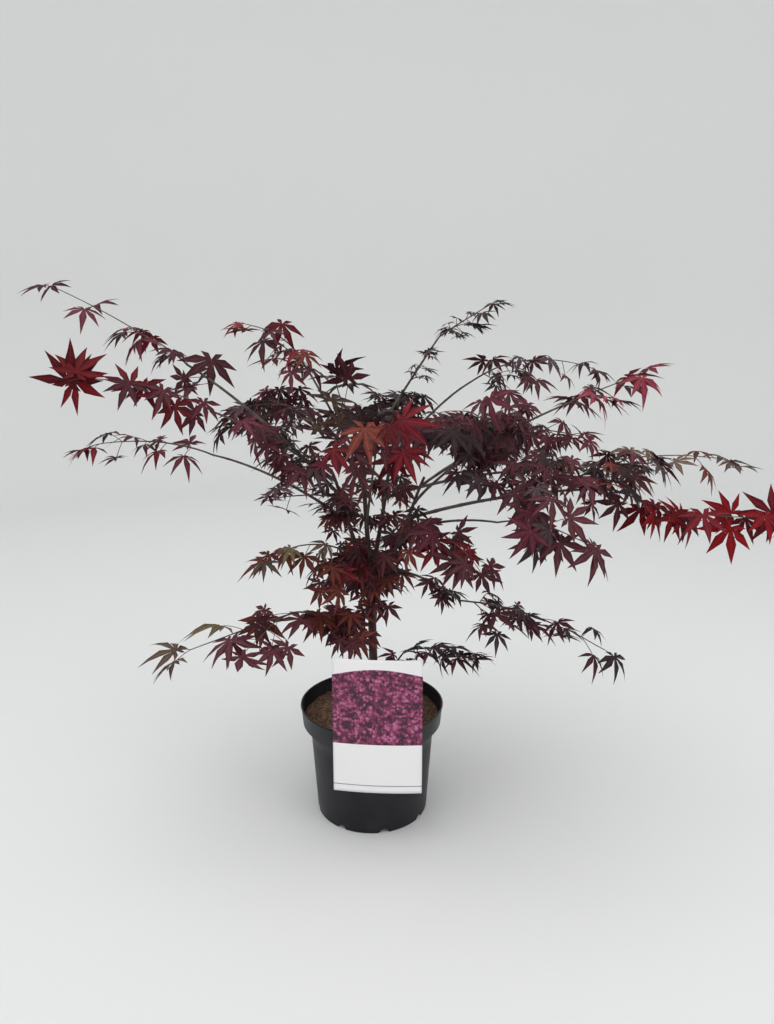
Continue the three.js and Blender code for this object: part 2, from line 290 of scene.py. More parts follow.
def sweep(paths, radii, sides):
    # rings of points round each path, turned on from ring to ring without twist; both ends closed.
    # paths (n, steps, 3), radii (n, steps) or (n, steps, sides)
    count, steps = paths.shape[:2]
    ahead = normalised(np.gradient(paths, axis=1))
    guess = np.where(np.abs(ahead[:, 0, 2:]) > 0.9, np.array([1.0, 0, 0]), upward)
    across = np.zeros_like(paths)
    across[:, 0] = normalised(np.cross(guess, ahead[:, 0]))
    for step in range(1, steps):
        carried = across[:, step - 1]
        along = (carried * ahead[:, step]).sum(-1, keepdims=True)
        across[:, step] = normalised(carried - along * ahead[:, step])
    above = np.cross(ahead, across)
    angle = ringAngles(sides)
    ring = across[:, :, None] * np.cos(angle)[:, None] + above[:, :, None] * np.sin(angle)[:, None]
    reach = radii[..., None, None] if radii.ndim == 2 else radii[..., None]
    rings = paths[:, :, None] + reach * ring
    vertices = np.concatenate([rings.reshape(count, -1, 3), paths[:, [0, -1]]], 1)
    _, quads, fans = closedRows(rings[0])
    each = np.arange(count)[:, None, None] * vertices.shape[1]
    return vertices.reshape(-1, 3), (quads + each).reshape(-1, 4), (fans + each).reshape(-1, 3)


def joined(parts):
    # several (vertices, quads, fans) as one
    offset = np.cumsum([0] + [len(p[0]) for p in parts[:-1]])
    moved = ([p[i] + o * (i > 0) for p, o in zip(parts, offset)] for i in range(3))
    return tuple(np.concatenate(arrays) for arrays in moved)


def ripple(places, wavelength, seed, waves=14):
    # uneven bumps, mostly within 1 either way: a mean of plane waves in seeded directions, of nearly
    # one wavelength, scaled up
    rng = np.random.default_rng(seed)
    ways = normalised(rng.normal(size=(waves, 3))) * rng.uniform(0.7, 1.5, (waves, 1))
    phase = rng.uniform(0, 2 * np.pi, waves)
    return np.sin(places @ ways.T * (2 * np.pi / wavelength) + phase).mean(-1) * 2.2


barkLook = {
    "base": "4a342e", "shade": "2c1c1b", "pale": "7b6a5d",  # young bark, its furrows, its pores
    "streak": 5.0, "drawn": 0.12, "pore": 6.6, "squashed": 1.6,  # mm, and each one's scale along Z
    "poreShare": (0.12, 0.2, 0.55, 0.0),  # distance from a pore's middle, and its share of the colour
}
shootLook = {"base": "463b37", "young": "3a1d22", "green": "4c4a3b", "patch": 26.0, "pore": 2.2}  # mm


def barkMaterial():
    # Young maple bark, grown smooth: matte, with fine upright streaks and pale breathing pores. The
    # pores are drawn three times their real size, or they wouldn't show.
    look = barkLook
    material, add, surface = newMaterial("young_maple_bark", Roughness=0.72)
    place = add("TexCoord").outputs["Object"]
    drawn = add("Mapping", {"Vector": place, "Scale": (1, 1, look["drawn"])})
    scale = 1000 / look["streak"]
    streaks = add("TexNoise", {"Vector": drawn, "Scale": scale, "Detail": 5.0, "Roughness": 0.6})
    flat = add("Mapping", {"Vector": place, "Scale": (1, 1, look["squashed"])})
    pores = add("TexVoronoi", {"Vector": flat, "Scale": 1000 / look["pore"], "Randomness": 1.0})
    skin = add("ValToRGB", [streaks], [(0.35, look["shade"]), (0.66, look["base"])])
    spot = add("MapRange", [pores, *look["poreShare"]])
    colour = add("Mix", {"Factor": spot, "A": skin, "B": linearFromHex(look["pale"])}, data_type="RGBA")
    relief = add("Bump", {"Height": streaks, "Strength": 0.5, "Distance": 0.6 * mm})
    plug(surface, {"Base Color": colour, "Normal": relief})
    return material


def shootMaterial():
    # One- and two-year maple shoots: satin skin that runs from grey-green wood to maroon tips. The
    # specks are drawn twice their real size, or they wouldn't show.
    look = shootLook
    return mottledMaterial(
        "maple_shoot_skin", {"Scale": 1000 / look["patch"], "Detail": 2.0},
        [(0.36, look["young"]), (0.64, look["green"]), (0.5, look["base"])],
        ({"Scale": 1000 / look["pore"], "Detail": 3.0}, 0.35, 0.25 * mm), Roughness=0.5)[0]


stemLook = {
    "step": 2.2 * mm, "sink": 6 * mm,  # ring spacing, and how far the stem's foot goes into the compost
    "ribs": 3, "ribSize": 0.2, "ribTurn": 0.6, "ribFade": 14 * mm,  # buttresses at the root flare
    "knotSpacing": 34 * mm, "knotStray": 5 * mm, "knotSize": 0.16, "knotLength": 1.6 * mm,  # leaf scars
    "collar": 0.5, "collarLength": 2.6,  # swelling at a fork, and its length in radii
    "rough": 0.055, "bump": 2.2, "bumpLength": 6 * mm,
    "sides": (28, 18, 12),  # round the trunk, the leaders and the boughs
}


def barkTube(name, line, radii, sides, seed):
    # radius round a limb = its taper, times ribs at a root flare, rings at the old leaf scars,
    # a collar where it parts from its parent, and small uneven bumps
    length = pathLength(line)
    path = evenPath(line, max(int(length / stemLook["step"]), 12))
    share = np.linspace(0, 1, len(path))
    far = share * length
    radius = np.interp(share, np.linspace(0, 1, len(radii)), radii)[:, None]
    angle = ringAngles(sides)
    rng = np.random.default_rng(seed)
    knots = np.arange(stemLook["knotSpacing"], length, stemLook["knotSpacing"])
    knots = knots + rng.uniform(-1, 1, len(knots)) * stemLook["knotStray"]
    rings = np.exp(-((far[:, None] - knots) / stemLook["knotLength"]) ** 2).sum(1)[:, None]
    form = 1 + stemLook["knotSize"] * rings
    if name == "trunk":
        form = form + stemLook["ribSize"] * np.cos(stemLook["ribs"] * angle + stemLook["ribTurn"]) * np.exp(
            -far[:, None] / stemLook["ribFade"])
    else:
        reach = stemLook["collarLength"] * radius[0]
        form = form + stemLook["collar"] * np.exp(-((far[:, None] / reach) ** 2))
    upwards = far[:, None] / stemLook["bumpLength"]
    around = np.stack(np.broadcast_arrays(np.cos(angle), np.sin(angle), upwards), -1)
    form = form + stemLook["rough"] * ripple(around, stemLook["bump"], seed)
    return sweep(path[None], (radius * form)[None], sides)


def makeWood():
    bark, shoot = barkMaterial(), shootMaterial()
    trunkSides, leaderSides, boughSides = stemLook["sides"]
    line, radii = limbs["trunk"]
    sunk = np.concatenate([[line[0] - [0, 0, stemLook["sink"]]], line])
    old = [barkTube("trunk", sunk, np.concatenate([radii[:1], radii]), trunkSides, 1)]
    old += [barkTube(n, *limbs[n], leaderSides, i + 2) for i, n in enumerate(limbNames)
            if n.startswith("leader_")]
    young = [barkTube(n, *limbs[n], boughSides, i + 20) for i, n in enumerate(limbNames)
             if n.startswith("bough_")]
    for name, parts, material, slot, starts in (
            ("stem", old, bark, "bark", ("trunk", "leader_")),
            ("boughs", young, shoot, "shoot", ("bough_",))):
        addPiece(name, joined(parts), material, slot, [n for n in limbNames if n.startswith(starts)])
    print("wood:", len(old), "stems and", len(young), "boughs with bark relief")
    return shoot


shootSkin = makeWood()

bladeLook = {
    "angles": (0, 42, 84, 126),       # degrees from the middle lobe to the outer ones
    "lengths": (1.0, 0.94, 0.78, 0.36),
    "sinus": 0.16,                    # where neighbouring lobes part, as a share of their length
    "waist": ((0.46, 0.124), (0.75, 0.058)),  # share along a lobe, half width there
    "fold": 0.3,                      # how far the lobes' edges stand up from their ribs
    "shades": 4,                      # depths of colour dealt out leaf by leaf
    "outer": 44,                      # degrees from the outer lobes to the blade's edge by the stalk
    "lobeTurn": 4, "lobeReach": (0.86, 1.06), "lobeSag": (0.5, 1.5), "lobeBend": 0.06,  # scatter by lobe
    "gapLift": 0.02,                  # how far the gaps stand over the blade's plane
}


def bladeTemplate():
    # one leaf of seven lobes as 65 corners: the middle, eight gaps, and eight corners to a lobe,
    # four on its rib and four on its edges, each at a share along the lobe and a half width
    side = [-a for a in bladeLook["angles"][:0:-1]]
    angles = np.radians(side + list(bladeLook["angles"]))
    lengths = np.array(list(bladeLook["lengths"][:0:-1]) + list(bladeLook["lengths"]))
    (along1, half1), (along2, half2) = bladeLook["waist"]
    sinus = bladeLook["sinus"]
    rib = [(sinus * 1.1, 0), (along1 + 0.03, 0), (along2 + 0.02, 0), (1, 0)]
    stations = np.array(rib + [(along1, -half1), (along1, half1), (along2, -half2), (along2, half2)])
    faces3, faces4, marks3, marks4 = [], [], [], []
    for lobe in range(7):
        base = 9 + 8 * lobe
        for sign, gap, near in ((-1, 1 + lobe, base + 4), (1, 2 + lobe, base + 5)):
            far = near + 2
            turn = slice(None, None, -1) if sign < 0 else slice(None)
            faces3 += [f[turn] for f in ([0, gap, base], [base + 2, far, base + 3])]
            faces4 += [f[turn] for f in ([base, gap, near, base + 1], [base + 1, near, far, base + 2])]
            marks3 += [m[turn] for m in ([(0, 0), (sign, sinus), (0, sinus * 1.1)],
                                         [(0, along2), (sign, along2), (0, 1)])]
            marks4 += [m[turn] for m in ([(0, sinus * 1.1), (sign, sinus), (sign, along1), (0, along1)],
                                         [(0, along1), (sign, along1), (sign, along2), (0, along2)])]
    return (angles, lengths, stations, np.array(faces3), np.array(faces4),
            np.array(marks3, float), np.array(marks4, float))


def makeBlades(leaves, rng):
    # a corner at share s along a lobe and half width w stands at (s, w) turned by the lobe's angle;
    # it rises by fold * |w| and sinks by droop * s squared
    angles, lengths, stations, faces3, faces4, marks3, marks4 = bladeTemplate()
    count = len(leaves["size"])
    turned = angles + np.radians(rng.normal(0, bladeLook["lobeTurn"], (count, 7)))
    reach = lengths * rng.uniform(*bladeLook["lobeReach"], (count, 7))
    sag = leaves["droop"][:, None] * rng.uniform(*bladeLook["lobeSag"], (count, 7))
    bend = rng.normal(0, bladeLook["lobeBend"], (count, 7))
    out = stations[:, 0] * reach[..., None]
    wide = stations[:, 1] * np.sqrt(reach[..., None])
    direction = turned[..., None] + bend[..., None] * stations[:, 0]
    x = out * np.sin(direction) + wide * np.cos(direction)
    y = out * np.cos(direction) - wide * np.sin(direction)
    z = bladeLook["fold"] * np.abs(wide) - sag[..., None] * out ** 2
    lobes = np.stack([x, y, z], -1)
    # the gaps lie half way between two lobes, and a little beyond each outer lobe
    outer = np.radians(bladeLook["outer"])
    bounds = np.concatenate([turned[:, :1] - outer, turned, turned[:, -1:] + outer], 1)
    middle = (bounds[:, 1:] + bounds[:, :-1]) / 2
    shorter = np.concatenate([reach[:, :1], reach, reach[:, -1:]], 1)
    shorter = bladeLook["sinus"] * np.minimum(shorter[:, 1:], shorter[:, :-1])
    lift = bladeLook["gapLift"] - leaves["droop"][:, None] * shorter ** 2
    gaps = np.stack([shorter * np.sin(middle), shorter * np.cos(middle), lift], -1)
    local = np.concatenate([np.zeros((count, 1, 3)), gaps, lobes.reshape(count, 56, 3)], 1)
    right = np.cross(leaves["ahead"], leaves["above"])
    axes = np.stack([right, leaves["ahead"], leaves["above"]], 1)
    places = leaves["base"][:, None] + leaves["size"][:, None, None] * (local @ axes)
    return places, (faces3, faces4), (marks3, marks4)


leafLook = {  # four numbers together: a value's low and high, and what they turn into
    "skin": {"Roughness": 0.55, "Specular IOR Level": 0.12}, "rib": (0.02, 0.08, 0.8, 0.0),
    "veinSlant": -0.55, "veinWaves": 75.0, "vein": (0.5, 1.0, 0.0, 0.3), "rim": (0.2, 0.5, 0.0, 0.6),
    "firstShade": 0.62, "shadeStep": 0.22, "blotches": 9.0, "blotch": (0.3, 0.7, 0.85, 1.15),
}


def leafMaterial(tint, base, rib, edge):
    # A maple leaf blade: thin and faintly waxy. Each lobe has a paler rib and side veins and a darker
    # rim, read from a map where u runs across a lobe in one of the shades and v along it.
    look = leafLook
    material, add, surface = newMaterial("maple_leaf_" + tint, **look["skin"])
    place = add("UVMap", uv_map="OFBake")
    u, v, _ = add("SeparateXYZ", [place]).outputs
    scaled = add("Math MULTIPLY", [u, float(bladeLook["shades"])])
    off = add("Math ABSOLUTE", [add("Math SUBTRACT", [add("Math FRACT", [scaled]), 0.5])])
    # side veins leave the rib at a slant, about 12 to a lobe
    slant = add("Math MULTIPLY_ADD", [off, look["veinSlant"], v])
    waves = add("Math SINE", [add("Math MULTIPLY", [slant, look["veinWaves"]])])
    veins, ribs, rim = (add("MapRange", [value, *look[name]]) for value, name in (
        (waves, "vein"), (off, "rib"), (off, "rim")))
    lines = add("Math MAXIMUM", [ribs, veins])
    body = add("Mix", {"Factor": rim, "A": linearFromHex(base), "B": linearFromHex(edge)}, data_type="RGBA")
    veined = add("Mix", {"Factor": lines, "A": body, "B": linearFromHex(rib)}, data_type="RGBA")
    # the leaf's own depth of colour, a little blotched
    depth = add("Math MULTIPLY_ADD", [add("Math FLOOR", [scaled]), look["shadeStep"], look["firstShade"]])
    blotch = add("TexNoise", {"Vector": place, "Scale": look["blotches"], "Detail": 3.0})
    light = add("Math MULTIPLY", [depth, add("MapRange", [blotch, *look["blotch"]])])
    toned = add("VectorMath SCALE", {0: veined, "Scale": light})
    relief = add("Bump", {"Height": lines, "Strength": 0.3, "Distance": 0.3 * mm})
    plug(surface, {"Base Color": toned, "Normal": relief})
    return material


# each tint: blade, rib, rim; nearestTint pairs a tint of no mass's own with the one it is nearest to
nearestTint = {"rose": "crimson"}
leafTints = {
    "dusk": ("3c2e31", "574347", "271d20"),
    "maroon": ("4b262c", "6a3a41", "32191e"),
    "wine": ("50212c", "703540", "37151d"),
    "russet": ("642e28", "86493c", "411d1a"),
    "crimson": ("62141e", "872831", "400b13"),
    "scarlet": ("6e0a12", "8e181f", "48070d"),
    "rose": ("85303f", "a04b58", "5c1c29"),
    "bronze": ("5e4b41", "7c6558", "433228"),
    "olive": ("65563d", "827256", "493929"),
}

# size in mm; angles in degrees. tilt: 0 lies flat, 90 hangs, below 0 stands up; tiltSpread: its
# scatter. face: how far the blades turn to the front, or to the back below 0. yaw, spin, roll: the
# scatter about that. droop: how far lobes bend down. petiole: a stalk's length in leaf sizes.
# spread: from the shoot to a stalk.
# nodes: places for leaves along the leading shoot. sides: how many nodes bear side shoots.
# bare: the share of leaves that are missing. mix: the tints dealt out, the CAD mass's own first.
# bearer: what the spray grows on, or else the bough of its own name.
sprayDefaults = {
    "size": 32, "tilt": 30, "tiltSpread": 18, "face": 0.4, "yaw": 20, "spin": 22, "roll": 16,
    "droop": 0.3, "nodes": 4, "sides": 2, "petiole": 0.55, "spread": 56, "bare": 0.12,
    "seed": 1,
}
backLook = {"size": 36, "tilt": 35, "face": -0.4, "nodes": 6, "sides": 4}
sprayLooks = {
    "left_upper": dict(bearer="bough_left_long", size=38, tilt=24, droop=0.35, sides=0,
        mix="wine crimson maroon", seed=8),
    "left_tip": dict(bearer="foliage_left_upper", size=38, tilt=12, droop=0.4, petiole=0.3, nodes=2,
        sides=0, mix="wine maroon", seed=4),
    "left_inner": dict(bearer="bough_left_mid", size=40, tilt=66, face=0.95, spin=60, petiole=0.5, sides=0,
        droop=0.1, mix="maroon wine crimson", seed=3),
    "left_fan": dict(bearer="foliage_left_inner", size=58, tilt=76, face=1, spin=75, petiole=0.3, spread=80,
        nodes=1, sides=0, droop=0.08, bare=0.1, mix="scarlet scarlet crimson", seed=8),
    "left_low": dict(size=33, tilt=5, droop=0.5, nodes=5, sides=0, mix="maroon wine crimson", seed=4),
    "left_high": dict(size=33, tilt=20, droop=0.4, sides=1, bare=0.15, mix="wine crimson maroon russet",
        seed=14),
    "crown_top": dict(bearer="trunk", size=42, tilt=-50, face=0.8, nodes=3, sides=1, bare=0,
        mix="bronze dusk bronze maroon", seed=14),
    "core_left": dict(bearer="leader_left", tilt=40, nodes=6, sides=3, bare=0.25,
        mix="maroon dusk wine maroon", seed=7),
    "core_low": dict(bearer="leader_left", size=28, tilt=0, droop=0.2, nodes=5, sides=1, bare=0.2,
        mix="maroon dusk maroon", seed=2),
    "core_front": dict(size=38, tilt=55, face=0.95, spin=50, sides=2, mix="russet crimson crimson maroon",
        seed=3),
    "right_shoot": dict(size=22, tilt=15, sides=1, mix="dusk", seed=7),
    "right_high": dict(size=31, tilt=28, droop=0.5, nodes=5, bare=0.2, mix="dusk maroon", seed=3),
    "right_wine": dict(bearer="bough_right_core", size=34, tilt=35, face=0.8, sides=3,
        mix="wine maroon dusk maroon", seed=2),
    "right_rise": dict(size=42, tilt=8, face=0.15, nodes=4, sides=1, bare=0.25, mix="crimson rose wine",
        seed=12),
    "right_core_front": dict(bearer="bough_right_core", tilt=38, face=0.6, nodes=5, sides=3,
        mix="maroon dusk wine maroon", seed=8),
    "right_core_low": dict(bearer="bough_right_core", tilt=42, face=0.6, nodes=5, sides=3,
        mix="maroon dusk", seed=11),
    "right_mid": dict(bearer="bough_right_long", tilt=18, face=0.3, droop=0.35, nodes=5, sides=3,
        mix="russet maroon wine dusk maroon wine", seed=8),
    "right_far": dict(size=40, tilt=10, face=0.1, droop=0.4, nodes=5, sides=1, bare=0.1,
        mix="bronze bronze russet", seed=8),
    "scarlet_inner": dict(bearer="bough_right_long", size=41, tilt=68, face=0.9, spin=50, petiole=0.45,
        sides=0, droop=0.15, mix="crimson maroon scarlet", seed=3),
    "scarlet_outer": dict(bearer="foliage_scarlet_inner", size=45, tilt=72, face=1, spin=60, petiole=0.4,
        sides=0, droop=0.1, mix="scarlet crimson scarlet", seed=4),
    "right_hang": dict(size=40, tilt=60, face=0.9, spin=50, nodes=3, sides=1, bare=0.35,
        mix="wine maroon dusk maroon", seed=2),
    "mid_hang": dict(size=35, tilt=58, face=0.9, spin=45, sides=1, mix="wine maroon crimson", seed=6),
    "low_right": dict(size=31, tilt=14, droop=0.4, nodes=7, mix="dusk maroon", seed=13),
    "low_arch": dict(size=29, tilt=-35, droop=0.6, petiole=0.4, nodes=8, sides=0, bare=0, mix="dusk maroon",
        seed=8),
    "low_left": dict(size=38, tilt=60, face=0.85, petiole=0.7, spread=75, nodes=4, sides=0, bare=0.2,
        mix="wine maroon maroon russet", seed=2),
    "low_left_tip": dict(bearer="bough_low_left", size=46, tilt=10, face=0.3, droop=0.5, nodes=2, sides=0,
        mix="maroon bronze olive", seed=9),
    "mid_left": dict(size=34, tilt=28, face=0.5, droop=0.5, sides=0, mix="olive bronze russet", seed=3),
    "trunk_left": dict(bearer="trunk", size=29, tilt=52, face=0.8, nodes=5, mix="russet maroon crimson",
        seed=8),
    "trunk_low": dict(bearer="trunk", size=29, tilt=50, face=0.8, mix="russet maroon wine", seed=4),
    "back_left": dict(backLook, mix="maroon wine dusk"),
    "back_middle": dict(backLook, bearer="leader_back", mix="dusk maroon"),
    "back_right": dict(backLook, mix="maroon wine dusk"),
    "back_low": {**backLook, "tilt": 45, "mix": "wine maroon russet"},
}
# leaves that some limbs bear along themselves, at so many nodes from the first one on: side shoots, or
# two pairs of leaves at each; reach in mm
leaderLook = dict(size=27, tilt=45, face=0.6, nodes=7, first=0, sides=5, reach=24, bare=0.2,
                  mix="maroon dusk russet maroon")
pairLook = dict(kind="pair", reach=12, bare=0)
limbLooks = {
    "leader_left": dict(leaderLook, seed=2),
    "leader_right": dict(leaderLook, seed=3),
    "leader_back": dict(leaderLook, seed=4),
    "bough_right_shoot": dict(size=18, tilt=12, nodes=6, first=0, sides=5, reach=12, bare=0.4, mix="dusk",
                              seed=2),
    "bough_low_left": dict(pairLook, size=34, tilt=55, face=0.8, nodes=4, first=1, sides=2,
                           mix="russet maroon wine", seed=3),
    "bough_low_right": dict(pairLook, size=26, tilt=35, face=0.5, nodes=6, first=3, sides=2,
                            mix="dusk maroon", seed=3),
    "bough_low_arch": dict(pairLook, size=24, tilt=10, droop=0.5, nodes=5, first=3, sides=1,
                           mix="dusk maroon", seed=3),
    "bough_left_long": dict(pairLook, size=46, tilt=60, face=0.95, spin=50, nodes=7, first=5, sides=1,
                            mix="maroon", seed=2),
}
twigLook = {
    "tip": 0.55, "side": 0.75, "stalk": 0.45, "boughEnd": 1.3,  # radii in mm
    "steps": 14, "sway": 0.012, "stalkSteps": 6, "stalkColours": ("3d1219", "6b2028"),
}


def lookOf(name):
    return {**sprayDefaults, "bearer": name.replace("foliage", "bough"),
            **sprayLooks[name.removeprefix("foliage_")]}


def bezier(start, pull, end, share):
    # a quadratic curve that sets off towards pull and comes in from it
    return start * (1 - share) ** 2 + 2 * pull * share * (1 - share) + end * share ** 2


def curved(start, middle, end, count):
    # the same through a middle point
    return bezier(start, 2 * middle - (start + end) / 2, end, np.linspace(0, 1, count)[:, None])


axisLook = {
    "steps": 40, "leastSteps": 6, "atTip": 20 * mm,  # a mass this near its bearer's tip starts there
    "halfWay": 0.14, "within": 85,  # the share of the run taken as its middle, and a percentile
    "leafRoom": 0.8,  # leaf sizes that the leading shoot stops short by
}


def sprayAxis(name, bearerLine):
    # from the bearer to the mass's furthest corner, through the mean of the corners half way
    corners = nodeCorners(name)
    gaps = np.linalg.norm(corners[:, None] - bearerLine, axis=-1).min(0)
    start = bearerLine[-1] if gaps[-1] < axisLook["atTip"] else bearerLine[gaps.argmin()]
    end = corners[np.linalg.norm(corners - start, axis=1).argmax()]
    chord = end - start
    share = (corners - start) @ chord / (chord @ chord)
    middle = corners[np.abs(share - 0.5) < axisLook["halfWay"]].mean(0)
    axis = evenPath(curved(start, middle, end, axisLook["steps"]), axisLook["steps"])
    sideways = normalised(np.cross(chord, upward))
    halves = [np.percentile(np.abs((corners - middle) @ way), axisLook["within"])
              for way in (sideways, normalised(np.cross(sideways, chord)))]
    return axis, *halves


leafScatter = {  # the least share of each of these, and how much chance adds to it
    "spread": (0.6, 0.8), "size": (0.72, 0.42), "stalk": (0.6, 0.9), "droop": (0.5, 1.0),
    "plane": 0.25, "steep": 0.7,  # how far the plane wanders, and how much of the height it keeps
}


def growLeaf(rng, place, ahead, side, plane, look, scale=1.0, spread=None):
    # a leaf leaves the shoot at the spread angle, to the left or right in a plane turned about the shoot
    sideways = normalised(np.cross(ahead, upward))
    above = np.cross(sideways, ahead)
    bell, even = rng.normal(size=6), rng.random(6)
    wide, large, long, bowed = (least + more * even[i] for i, (least, more) in enumerate(
        leafScatter[name] for name in ("spread", "size", "stalk", "droop")))
    turn = plane + leafScatter["plane"] * bell[0]
    across = side * (sideways * math.cos(turn) + leafScatter["steep"] * above * math.sin(turn))
    spread = math.radians(look["spread"] * wide) if spread is None else spread * bell[5]
    direction = normalised(ahead * math.cos(spread) + across * math.sin(spread))
    size = look["size"] * scale * large * mm
    face = look["face"]
    level = normalised(direction * [1, 1, 0]) * (1 - abs(face)) + frontward * face
    tints = look["mix"].split()
    return {
        "node": place, "direction": direction, "stalk": size * look["petiole"] * long,
        "size": size, "heading": normalised(level), "droop": look["droop"] * bowed,
        "tilt": math.radians(look["tilt"] + look["tiltSpread"] * bell[1]),
        "yaw": math.radians(look["yaw"]) * bell[2], "spin": math.radians(look["spin"]) * bell[3],
        "roll": math.radians(look["roll"]) * bell[4], "tint": tints[int(even[4] * len(tints))],
        "shade": int(even[5] * bladeLook["shades"]), "kept": rng.random() >= look["bare"],
    }


sideLook = {
    "angle": (34, 66), "run": (0.6, 1.3), "leastRun": 14 * mm,  # degrees, and shares of the half width
    "lift": 0.3, "flat": 15 * mm,  # how it wanders up and down, less where a mass is shallower than that
    "sag": 0.06, "bow": 0.05, "halfWay": (0.35, 0.65),  # shares of its own length
    "wander": 0.25,  # how far a node strays, in distances between nodes
    "pairScale": 0.85, "endScale": 0.9,  # its leaves' sizes half way along and at its tip
    "plane": 0.3, "endSpread": 0.3,  # scatter of a pair's plane and of a last leaf, in radians
}


def growUnit(unit, rng, look, main, halfWidth, halfDepth):
    # (kind, node, side) -> the shoots and leaves at one place of the leading shoot
    own = sideLook

    def pair(place, ahead, plane=0.0, scale=1.0):
        return [growLeaf(rng, place, ahead, s, plane + rng.normal(0, own["plane"]), look, scale)
                for s in (-1, 1)]

    kind, index, side = unit
    share = 1.0
    if kind != "tip":
        share = (index + 0.75 + rng.uniform(-own["wander"], own["wander"])) / (look["nodes"] - 0.25)
    place, ahead = alongPath(main, min(share, 1.0))
    if kind == "pair":
        plane = rng.normal(0, own["plane"]) + (np.pi / 2 if index % 2 else 0)
        return [], [growLeaf(rng, place, ahead, s, plane, look) for s in (-1, 1)]
    if kind == "tip":
        return [], pair(place, ahead) + [growLeaf(rng, place, ahead, 1, 0, look, 1, own["endSpread"])]
    # a side shoot, bowed a little upward, with a pair of leaves half way and a pair and one more at its tip
    sideways = normalised(np.cross(ahead, upward)) * side
    angle = math.radians(rng.uniform(*own["angle"]))
    lift = upward * rng.normal(0, own["lift"]) * min(halfDepth / own["flat"], 1.5)
    direction = normalised(ahead * math.cos(angle) + sideways * math.sin(angle) + lift)
    run = max(halfWidth * rng.uniform(*own["run"]), own["leastRun"])
    end = place + direction * run - upward * own["sag"] * run
    bent = curved(place, (place + end) / 2 + upward * own["bow"] * run, end, twigLook["steps"])
    tip = bent[-1], normalised(bent[-1] - bent[-2])
    leaves = pair(*tip)
    halfWay = alongPath(bent, rng.uniform(*own["halfWay"]))
    leaves += pair(*halfWay, np.pi / 2, own["pairScale"])
    leaves += [growLeaf(rng, *tip, 1, 0, look, own["endScale"], own["endSpread"])]
    return [(bent, twigLook["side"] * mm, twigLook["tip"] * mm)], leaves


def sprayUnits(look):
    # side shoots left and right at the first nodes, a pair of leaves at each node but the last, and
    # the tip
    units = [("side", i, s) for i in range(look["sides"]) for s in (-1, 1)]
    units += [("pair", i, 0) for i in range(look["nodes"] - 1)]
    return units + [("tip", look["nodes"] - 1, 0)]


def sprayStart(name, look, bearerLine):
    # the leading shoot of a spray, stopped short of the mass's end by most of a leaf
    axis, halfWidth, halfDepth = sprayAxis(name, bearerLine)
    length = pathLength(axis)
    reach = 1 - axisLook["leafRoom"] * look["size"] * mm / length
    steps = twigLook["steps"]
    main = evenPath(axis[:max(int(reach * axisLook["steps"]), axisLook["leastSteps"])], steps)
    sway = np.sin(np.linspace(0, look["nodes"] * np.pi, steps))[:, None] * twigLook["sway"] * length / 2
    return main + sway * normalised(np.cross(axis[-1] - axis[0], upward)), halfWidth, halfDepth


def growCrown():
    # sprays that grow on from other sprays come after them; then the limbs with leaves of their own
    lines = {name: line for name, (line, _) in limbs.items()}
    shoots, leaves = [], []

    def grow(units, look, *room):
        for number, unit in enumerate(units):
            rng = np.random.default_rng((look["seed"], number))
            moreShoots, moreLeaves = growUnit(unit, rng, look, *room)
            leaves.extend(leaf for leaf in moreLeaves if leaf["kept"])
            shoots.extend(moreShoots)

    for name in sorted(sprayNames, key=lambda n: lookOf(n)["bearer"].startswith("foliage_")):
        look = lookOf(name)
        bearer = look["bearer"]
        main, halfWidth, halfDepth = sprayStart(name, look, lines[bearer])
        lines[name] = main
        radius = limbs[bearer][1][-1] if bearer in limbs else twigLook["side"] * mm
        shoots.append((main, min(radius, twigLook["boughEnd"] * mm), twigLook["tip"] * mm))
        grow(sprayUnits(look), look, main, halfWidth, halfDepth)
    for name, own in limbLooks.items():
        look = {**sprayDefaults, "kind": "side", **own}
        nodes, reach = range(look["first"], look["first"] + look["sides"]), look["reach"] * mm
        units = [(look["kind"], node, side) for node in nodes for side in (-1, 1)]
        grow(units, look, lines[name], reach, reach)
    return shoots, leaves


def leafArrays(rows):
    # all leaves as arrays, with their blades' axes: the heading turned by the yaw, tipped by the tilt,
    # rolled about itself and then spun about the blade's own normal
    leaves = {key: np.array([row[key] for row in rows]) for key in rows[0]}

    def turnBy(a, b, name):
        return a * np.cos(leaves[name])[:, None] + b * np.sin(leaves[name])[:, None]

    heading = turnBy(leaves["heading"], np.cross(leaves["heading"], upward), "yaw")
    level = np.cross(heading, upward)
    ahead = turnBy(heading, -upward, "tilt")
    above = turnBy(np.cross(level, ahead), level, "roll")
    ahead = turnBy(ahead, np.cross(ahead, above), "spin")
    stalk = leaves["stalk"][:, None]
    leaves["base"] = leaves["node"] + leaves["direction"] * stalk - upward * (0.16 * stalk)
    leaves["ahead"], leaves["above"] = normalised(ahead), normalised(above)
    return leaves


